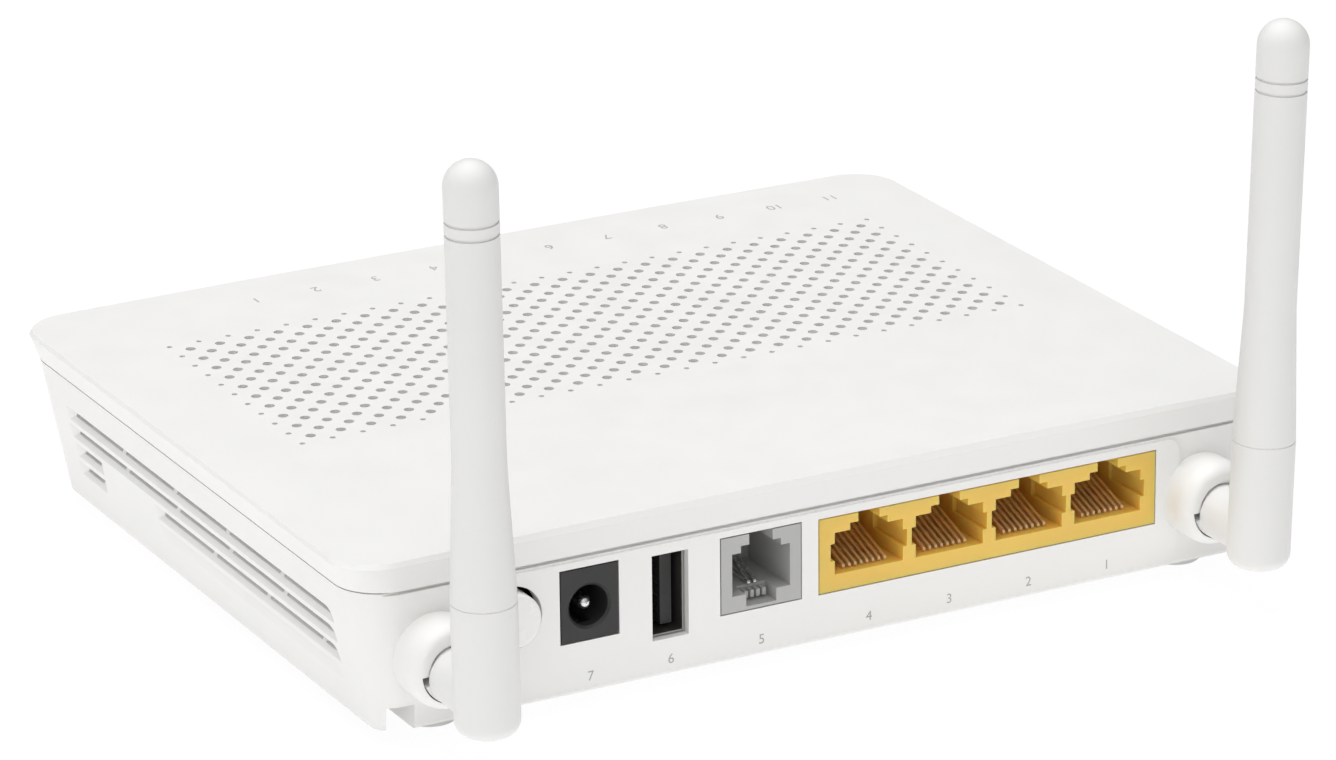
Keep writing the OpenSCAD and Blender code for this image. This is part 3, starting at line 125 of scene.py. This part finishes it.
def noise(tree, coords, scale, detail=3.0, rough=0.5):
    """Adds a noise texture on the given coordinates."""
    node = tree.nodes.new("ShaderNodeTexNoise")
    node.inputs["Scale"].default_value = scale
    node.inputs["Detail"].default_value = detail
    node.inputs["Roughness"].default_value = rough
    tree.links.new(coords, node.inputs["Vector"])
    return node.outputs["Fac"]


def ramp(tree, value, low, high, from_low=0.3, from_high=0.7):
    """Spreads the middle of a noise over a range of values."""
    node = tree.nodes.new("ShaderNodeMapRange")
    node.inputs["From Min"].default_value = from_low
    node.inputs["From Max"].default_value = from_high
    node.inputs["To Min"].default_value = low
    node.inputs["To Max"].default_value = high
    tree.links.new(value, node.inputs["Value"])
    return node.outputs["Result"]


def colour_ramp(tree, value, low, high, from_low=0.3, from_high=0.7):
    """Spreads the middle of a noise over a range of colours."""
    node = tree.nodes.new("ShaderNodeValToRGB")
    node.color_ramp.elements[0].position = from_low
    node.color_ramp.elements[1].position = from_high
    node.color_ramp.elements[0].color = (*low, 1)
    node.color_ramp.elements[1].color = (*high, 1)
    tree.links.new(value, node.inputs["Fac"])
    return node.outputs["Color"]


def add_bump(tree, shader, height, strength, distance):
    """Lets a height turn the shader's normal."""
    node = tree.nodes.new("ShaderNodeBump")
    node.inputs["Strength"].default_value = strength
    node.inputs["Distance"].default_value = distance
    tree.links.new(height, node.inputs["Height"])
    tree.links.new(node.outputs["Normal"], shader.inputs["Normal"])


def moulded(name, colour, cloud, rough, uneven, grain, specular=0.5, scatter=None):
    """Moulded plastic: faint cloudiness, uneven gloss and the tool's grain, as its scale and depth.

    A plastic that light enters also has the depths in millimetres to which red, green and blue reach.
    """
    material, tree, shader, coords = new_material(name)
    low = [channel * (1 - cloud) for channel in colour]
    high = [min(1.0, channel * (1 + cloud)) for channel in colour]
    tint = colour_ramp(tree, noise(tree, coords, CLOUD_SCALE, detail=4.0), low, high)
    tree.links.new(tint, shader.inputs["Base Color"])
    gloss = ramp(tree, noise(tree, coords, GLOSS_SCALE, detail=5.0), rough - uneven, rough + uneven)
    tree.links.new(gloss, shader.inputs["Roughness"])
    shader.inputs["Specular IOR Level"].default_value = specular
    if scatter:
        shader.inputs["Subsurface Weight"].default_value = SCATTER_SHARE
        shader.inputs["Subsurface Radius"].default_value = scatter
        shader.inputs["Subsurface Scale"].default_value = MM
    grain_scale, grain_depth = grain
    height = noise(tree, coords, grain_scale, detail=2.0)
    add_bump(tree, shader, height, GRAIN_STRENGTH, grain_depth)
    return material


def metal(name, colour, tarnish, rough, uneven, mark_scale):
    """Plated metal: fine rolling marks along one direction and slight tarnish."""
    material, tree, shader, coords = new_material(name)
    low = [channel * (1 - tarnish) for channel in colour]
    tint = colour_ramp(tree, noise(tree, coords, TARNISH_SCALE, detail=5.0), low, colour)
    tree.links.new(tint, shader.inputs["Base Color"])
    stretch = tree.nodes.new("ShaderNodeMapping")
    stretch.inputs["Scale"].default_value = MARK_STRETCH
    tree.links.new(coords, stretch.inputs["Vector"])
    marks = noise(tree, stretch.outputs["Vector"], mark_scale)
    gloss = ramp(tree, marks, rough - uneven, rough + uneven)
    tree.links.new(gloss, shader.inputs["Roughness"])
    shader.inputs["Metallic"].default_value = 1.0
    add_bump(tree, shader, marks, MARK_STRENGTH, MARK_DEPTH)
    return material


# Circuit board
MASK_DARK = (0.012, 0.085, 0.035, 1)
MASK_LIGHT = (0.016, 0.11, 0.045, 1)
COPPER_RUN = (0.03, 0.17, 0.075, 1)
RUN_SCALE = 130.0
RUN_WIDTH = 0.03
RUN_STRENGTH = 0.2
RUN_DEPTH = 0.03 * MM
MASK_SCALE = 300.0
MASK_ROUGH = (0.3, 0.45)


def board_material():
    """Solder mask with faint copper runs under it."""
    material, tree, shader, coords = new_material("board_mask")
    brick = tree.nodes.new("ShaderNodeTexBrick")
    brick.inputs["Scale"].default_value = RUN_SCALE
    brick.inputs["Color1"].default_value = MASK_DARK
    brick.inputs["Color2"].default_value = MASK_LIGHT
    brick.inputs["Mortar"].default_value = COPPER_RUN
    brick.inputs["Mortar Size"].default_value = RUN_WIDTH
    tree.links.new(coords, brick.inputs["Vector"])
    tree.links.new(brick.outputs["Color"], shader.inputs["Base Color"])
    gloss = ramp(tree, noise(tree, coords, MASK_SCALE), *MASK_ROUGH)
    tree.links.new(gloss, shader.inputs["Roughness"])
    add_bump(tree, shader, brick.outputs["Fac"], RUN_STRENGTH, RUN_DEPTH)
    return material


# Light guide
GUIDE_DARK = (0.86, 0.9, 0.89)
GUIDE_LIGHT = (0.93, 0.95, 0.94)
GUIDE_CLOUD = 120.0
GUIDE_FROST = 900.0
GUIDE_ROUGH = (0.25, 0.4)
GUIDE_CLEAR = 0.6
GUIDE_IOR = 1.49


def clear_material():
    """Frosted light guide."""
    material, tree, shader, coords = new_material("clear_guide")
    tint = colour_ramp(tree, noise(tree, coords, GUIDE_CLOUD), GUIDE_DARK, GUIDE_LIGHT)
    tree.links.new(tint, shader.inputs["Base Color"])
    gloss = ramp(tree, noise(tree, coords, GUIDE_FROST), *GUIDE_ROUGH)
    tree.links.new(gloss, shader.inputs["Roughness"])
    shader.inputs["Transmission Weight"].default_value = GUIDE_CLEAR
    shader.inputs["IOR"].default_value = GUIDE_IOR
    return material


# Surface grains: scale and depth
SPARK = (1500.0, 0.03 * MM)
NYLON = (700.0, 0.03 * MM)
POLISH = (900.0, 0.01 * MM)
GLAZE = (900.0, 0.005 * MM)
CHIP = (1200.0, 0.02 * MM)
RUBBER = (1800.0, 0.06 * MM)
JACKET = (800.0, 0.02 * MM)
RESIN = (700.0, 0.01 * MM)
SLEEVE = (600.0, 0.01 * MM)
INK = (2600.0, 0.004 * MM)
# Scales of the rolling marks on metal
ROLLED = 2500.0
BRUSHED = 6000.0
DRAWN = 1800.0

antenna_white = moulded(
    "antenna_satin", (0.79, 0.787, 0.775), cloud=0.008, rough=0.5, uneven=0.05, grain=SPARK)
panel_ink = moulded("panel_ink", (0.4, 0.4, 0.395), cloud=0.12, rough=0.55, uneven=0.05, grain=INK)
lid_ink = moulded("lid_ink", (0.47, 0.46, 0.43), cloud=0.12, rough=0.55, uneven=0.05, grain=INK)
tin = metal("tin_plate", (0.7, 0.7, 0.69), tarnish=0.1, rough=0.26, uneven=0.07, mark_scale=ROLLED)
# Steel darker than the plain steel: painted shade, so the set-back socket shell and its contacts look
# dim as in their recess
shade_darkened_steel = metal(
    "shell_steel_painted_shade", (0.42, 0.41, 0.39), tarnish=0.15, rough=0.4, uneven=0.06, mark_scale=BRUSHED)

SLOT_MATERIALS = {
    "white_plastic": moulded(
        "white_satin", (0.86, 0.855, 0.84), cloud=0.008, rough=0.46, uneven=0.05, grain=SPARK),
    "button_plastic": moulded(
        "button_gloss", (0.88, 0.876, 0.865), cloud=0.006, rough=0.28, uneven=0.04, grain=POLISH),
    "yellow_plastic": moulded(
        "yellow_nylon", (0.83, 0.545, 0.11), cloud=0.04, rough=0.38, uneven=0.06, grain=NYLON,
        scatter=(2.8, 1.5, 0.5)),
    "grey_plastic": moulded(
        "grey_nylon", (0.45, 0.45, 0.44), cloud=0.04, rough=0.42, uneven=0.06, grain=NYLON),
    "black_plastic": moulded(
        "black_nylon", (0.032, 0.033, 0.031), cloud=0.12, rough=0.4, uneven=0.07, grain=NYLON,
        specular=0.32),
    "green_plastic": moulded(
        "green_nylon", (0.03, 0.2, 0.075), cloud=0.05, rough=0.36, uneven=0.06, grain=NYLON),
    "chip_resin": moulded(
        "chip_resin", (0.022, 0.022, 0.024), cloud=0.12, rough=0.62, uneven=0.08, grain=CHIP),
    "led_resin": moulded(
        "lamp_resin", (0.8, 0.77, 0.55), cloud=0.03, rough=0.25, uneven=0.04, grain=RESIN),
    "ceramic": moulded(
        "ceramic_white", (0.84, 0.83, 0.78), cloud=0.01, rough=0.22, uneven=0.03, grain=GLAZE),
    "foot_rubber": moulded(
        "foot_rubber", (0.74, 0.735, 0.72), cloud=0.03, rough=0.8, uneven=0.06, grain=RUBBER,
        specular=0.3),
    "lead_jacket": moulded(
        "lead_jacket", (0.03, 0.03, 0.03), cloud=0.1, rough=0.5, uneven=0.06, grain=JACKET),
    "capacitor_sleeve": moulded(
        "capacitor_sleeve", (0.03, 0.033, 0.045), cloud=0.1, rough=0.3, uneven=0.05, grain=SLEEVE),
    "steel": metal(
        "zinc_steel", (0.62, 0.62, 0.61), tarnish=0.12, rough=0.32, uneven=0.08, mark_scale=ROLLED),
    "tin_steel": tin,
    "contact_metal": metal(
        "contact_bronze", (0.9, 0.69, 0.41), tarnish=0.2, rough=0.64, uneven=0.07, mark_scale=ROLLED),
    "sink_aluminium": metal(
        "sink_aluminium", (0.46, 0.47, 0.48), tarnish=0.08, rough=0.42, uneven=0.06, mark_scale=DRAWN),
    "board": board_material(),
    "clear_plastic": clear_material(),
}
# Nodes that look other than their slot
OWN_MATERIALS = {
    "left_antenna_foot": antenna_white,
    "left_antenna_whip": antenna_white,
    "right_antenna_foot": antenna_white,
    "right_antenna_whip": antenna_white,
    "tel_contacts": tin,
    # The socket shell and its contacts take the darker steel with painted shade
    "usb_shell": shade_darkened_steel,
    "usb_contacts": shade_darkened_steel,
}

for part in frame["record"]["subparts"]:
    node = part["node"]
    mesh = nodes[node].data
    mesh.materials.clear()
    mesh.materials.append(OWN_MATERIALS.get(node, SLOT_MATERIALS[part["material_slot"]]))


# Printed numbers
INK_LIFT = 0.02 * MM
PROBE = 4 * MM
DIGIT_SMOOTHNESS = 6
ON_PANEL = Matrix(((-1, 0, 0), (0, 0, 1), (0, 1, 0)))
ON_LID = Matrix.Identity(3)
PANEL_TEXT = 2.2 * MM
PANEL_TEXT_Z = 4.65 * MM
PORTS = 4
PORT_PITCH = 14 * MM
LID_TEXT = 3.0 * MM
LID_TEXT_SETBACK = 10.4 * MM
LAMPS = 11
HALF_LAMP = 0.8 * MM


def number_mesh(digits):
    """Flat mesh of a plain number at a text size of one unit, centred on the origin."""
    curve = bpy.data.curves.new("number", "FONT")
    curve.body = digits
    curve.align_x = "CENTER"
    curve.align_y = "CENTER"
    curve.resolution_u = DIGIT_SMOOTHNESS
    holder = bpy.data.objects.new("number", curve)
    scene.collection.objects.link(holder)
    shown = holder.evaluated_get(bpy.context.evaluated_depsgraph_get())
    mesh = bpy.data.meshes.new_from_object(shown)
    bpy.data.objects.remove(holder)
    bpy.data.curves.remove(curve)
    return mesh


def print_number(name, digits, node, place, turn, size, ink):
    """Lays a number on a CAD node's surface, following its shape, a hair above it."""
    mesh = number_mesh(digits)
    normal = turn @ Vector((0, 0, 1))
    for vertex in mesh.vertices:
        spot = Vector(place) + turn @ (vertex.co * size)
        hit, where, _, _ = nodes[node].ray_cast(spot + normal * PROBE, -normal)
        vertex.co = (where if hit else spot) + normal * INK_LIFT
    mesh.materials.clear()
    mesh.materials.append(ink)
    piece = bpy.data.objects.new(name, mesh)
    scene.collection.objects.link(piece)
    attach(piece, "housing")


def middle_x(node):
    """Middle of a CAD node's box along X."""
    low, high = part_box(node)
    return (low[0] + high[0]) / 2


def print_panel():
    """Numbers 1 to 4 under the network ports, 5 to 7 under the other sockets and 8 under the button."""
    _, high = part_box("lan_block")
    face = high[1]
    middle = middle_x("lan_block")
    ports = [middle + (index - (PORTS - 1) / 2) * PORT_PITCH for index in range(PORTS)]
    others = [middle_x(node) for node in ("tel_jack", "usb_shell", "dc_jack", "power_button")]
    for count, x in enumerate(ports + others, 1):
        name = f"panel_number_{count}"
        spot = (x, face, PANEL_TEXT_Z)
        print_number(name, str(count), "bottom_case", spot, ON_PANEL, PANEL_TEXT, panel_ink)


def print_lid():
    """One number behind each lamp, to be read from the front."""
    low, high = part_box("status_leds")
    first = high[0] - HALF_LAMP
    pitch = (high[0] - low[0] - 2 * HALF_LAMP) / (LAMPS - 1)
    for index in range(LAMPS):
        count = index + 1
        name = f"lid_number_{count}"
        spot = (first - index * pitch, LID_LOW[1] + LID_TEXT_SETBACK, LID_HIGH[2])
        print_number(name, str(count), "top_cover", spot, ON_LID, LID_TEXT, lid_ink)


print_panel()
print_lid()


# Floor and light
PAPER_WHITE = (1, 1, 1, 1)
FLOOR_HALF = 3.0
FLOOR_DROP = 0.2 * MM
FLOOR_COLOUR = (0.88, 0.88, 0.88, 1)
FLOOR_ROUGH = 0.9
TABLE_GLOW = 0.3
# Share of plain white in the floor as the camera sees it
FLOOR_WHITENESS = 0.93
# How the brightness of the studio grows along each axis, and its least
STUDIO_SLOPE = (0.28, 0.28, 0.8)
STUDIO_LEAST = 0.0


def math_node(tree, operation, first, second):
    """Joins a socket with another socket, or with a plain value."""
    node = tree.nodes.new("ShaderNodeMath")
    node.operation = operation
    tree.links.new(first, node.inputs[0])
    if isinstance(second, bpy.types.NodeSocket):
        tree.links.new(second, node.inputs[1])
    else:
        node.inputs[1].default_value = second
    return node.outputs["Value"]


def mix_to_surface(tree, share, first, second, output):
    """Mixes two shaders by a share of the second, into the tree's output."""
    mix = tree.nodes.new("ShaderNodeMixShader")
    tree.links.new(share, mix.inputs[0])
    tree.links.new(first.outputs[0], mix.inputs[1])
    tree.links.new(second.outputs[0], mix.inputs[2])
    tree.links.new(mix.outputs[0], tree.nodes[output].inputs["Surface"])


def make_floor():
    """White table that the camera sees as paper, and that lights the part from below."""
    half = FLOOR_HALF
    corners = [(-half, -half, 0), (half, -half, 0), (half, half, 0), (-half, half, 0)]
    mesh = bpy.data.meshes.new("floor")
    mesh.from_pydata(corners, [], [(0, 1, 2, 3)])
    floor = bpy.data.objects.new("floor", mesh)
    floor.location.z = -FLOOR_DROP
    scene.collection.objects.link(floor)
    material = bpy.data.materials.new("floor_white")
    material.use_nodes = True
    tree = material.node_tree
    shader = tree.nodes["Principled BSDF"]
    shader.inputs["Base Color"].default_value = FLOOR_COLOUR
    shader.inputs["Roughness"].default_value = FLOOR_ROUGH
    shader.inputs["Emission Color"].default_value = PAPER_WHITE
    shader.inputs["Emission Strength"].default_value = TABLE_GLOW
    glow = tree.nodes.new("ShaderNodeEmission")
    glow.inputs["Color"].default_value = PAPER_WHITE
    path = tree.nodes.new("ShaderNodeLightPath")
    share = math_node(tree, "MULTIPLY", path.outputs["Is Camera Ray"], FLOOR_WHITENESS)
    mix_to_surface(tree, share, shader, glow, "Material Output")
    mesh.materials.append(material)


def make_world():
    """Studio that grows brighter along one slope, in whose place the camera sees plain white."""
    world = bpy.data.worlds.new("studio")
    world.use_nodes = True
    tree = world.node_tree
    fill = tree.nodes["Background"]
    fill.inputs["Color"].default_value = PAPER_WHITE
    coords = tree.nodes.new("ShaderNodeTexCoord")
    slope = tree.nodes.new("ShaderNodeVectorMath")
    slope.operation = "DOT_PRODUCT"
    slope.inputs[1].default_value = STUDIO_SLOPE
    tree.links.new(coords.outputs["Generated"], slope.inputs[0])
    level = math_node(tree, "MAXIMUM", slope.outputs["Value"], STUDIO_LEAST)
    tree.links.new(level, fill.inputs["Strength"])
    back = tree.nodes.new("ShaderNodeBackground")
    back.inputs["Color"].default_value = PAPER_WHITE
    path = tree.nodes.new("ShaderNodeLightPath")
    camera_ray = path.outputs["Is Camera Ray"]
    seen = math_node(tree, "MAXIMUM", camera_ray, path.outputs["Is Transmission Ray"])
    mix_to_surface(tree, seen, fill, back, "World Output")
    scene.world = world


def area_light(name, place, target, size, power):
    """Adds a rectangular lamp at a place, turned towards a target."""
    data = bpy.data.lights.new(name, "AREA")
    data.shape = "RECTANGLE"
    data.size = size[0]
    data.size_y = size[1]
    data.energy = power
    lamp = bpy.data.objects.new(name, data)
    lamp.location = place
    lamp.rotation_euler = (Vector(target) - Vector(place)).to_track_quat("-Z", "Y").to_euler()
    scene.collection.objects.link(lamp)


make_floor()
make_world()
area_light("top_light", place=(0.05, -0.1, 1.1), target=(0, 0, 0), size=(1.2, 1.0), power=9.0)
area_light("panel_light", place=(0.53, 1.05, 0.43), target=(0, 0, 0.02), size=(0.9, 0.7), power=0.6)
